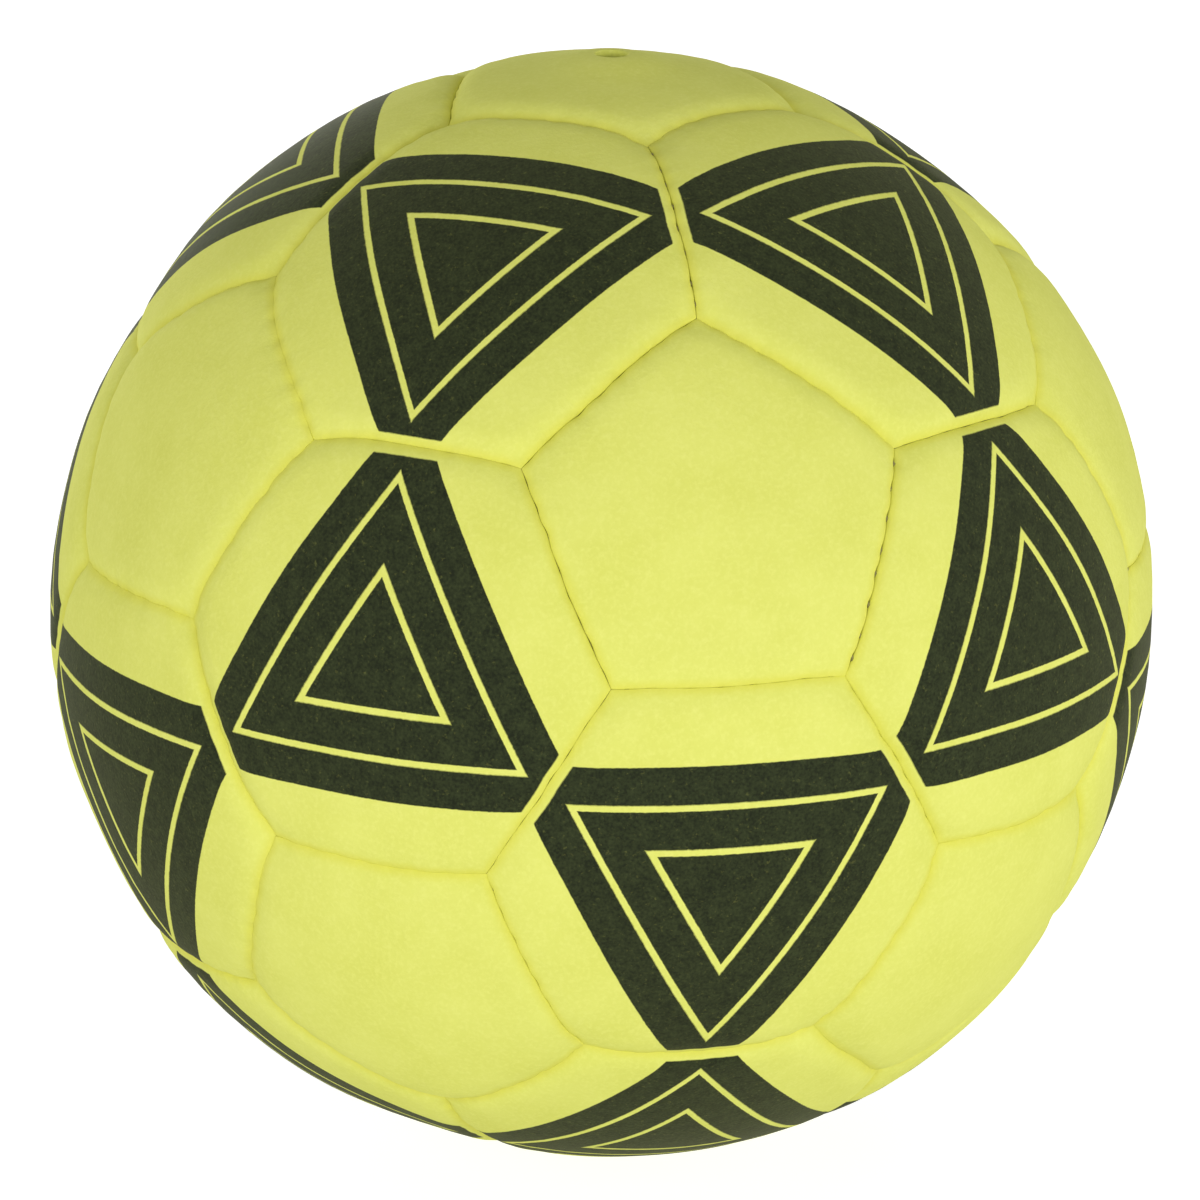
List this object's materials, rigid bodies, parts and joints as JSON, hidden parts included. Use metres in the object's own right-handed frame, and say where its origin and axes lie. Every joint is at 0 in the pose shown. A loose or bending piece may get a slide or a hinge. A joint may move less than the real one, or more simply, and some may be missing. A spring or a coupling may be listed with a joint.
{
  "type": "indoor soccer ball",
  "caption": "Round ball sewn from crowned felt pentagons and hexagons over an inflated rubber bladder with a needle valve, for indoor soccer.",
  "frame": {"origin": "the ball's centre", "axes": "+Z through the valve, -Y through the middle of the front pentagon, +X to its right"},
  "size_m": [0.2176, 0.2192, 0.2206],
  "materials": {
    "felt": "yellow short-nap felt, dark stripes printed on the hexagons",
    "thread": "waxed sewing thread",
    "bladder_rubber": "latex, matt",
    "valve_rubber": "moulded rubber, matt",
    "plug_rubber": "moulded rubber, matt"
  },
  "bodies": {
    "root": {"valve_panel": "felt", "base_panel": "felt", "upper_pentagon_1": "felt", "upper_pentagon_2": "felt", "upper_pentagon_3": "felt", "upper_pentagon_4": "felt", "upper_pentagon_5": "felt", "lower_pentagon_1": "felt", "lower_pentagon_2": "felt", "lower_pentagon_3": "felt", "lower_pentagon_4": "felt", "lower_pentagon_5": "felt", "crown_hexagon_1": "felt", "crown_hexagon_2": "felt", "crown_hexagon_3": "felt", "crown_hexagon_4": "felt", "crown_hexagon_5": "felt", "upper_hexagon_1": "felt", "upper_hexagon_2": "felt", "upper_hexagon_3": "felt", "upper_hexagon_4": "felt", "upper_hexagon_5": "felt", "lower_hexagon_1": "felt", "lower_hexagon_2": "felt", "lower_hexagon_3": "felt", "lower_hexagon_4": "felt", "lower_hexagon_5": "felt", "base_hexagon_1": "felt", "base_hexagon_2": "felt", "base_hexagon_3": "felt", "base_hexagon_4": "felt", "base_hexagon_5": "felt", "upper_half_thread": "thread", "lower_half_thread": "thread", "closing_thread": "thread", "bladder": "bladder_rubber", "valve_body": "valve_rubber", "valve_plug": "plug_rubber"}
  },
  "joints": []
}
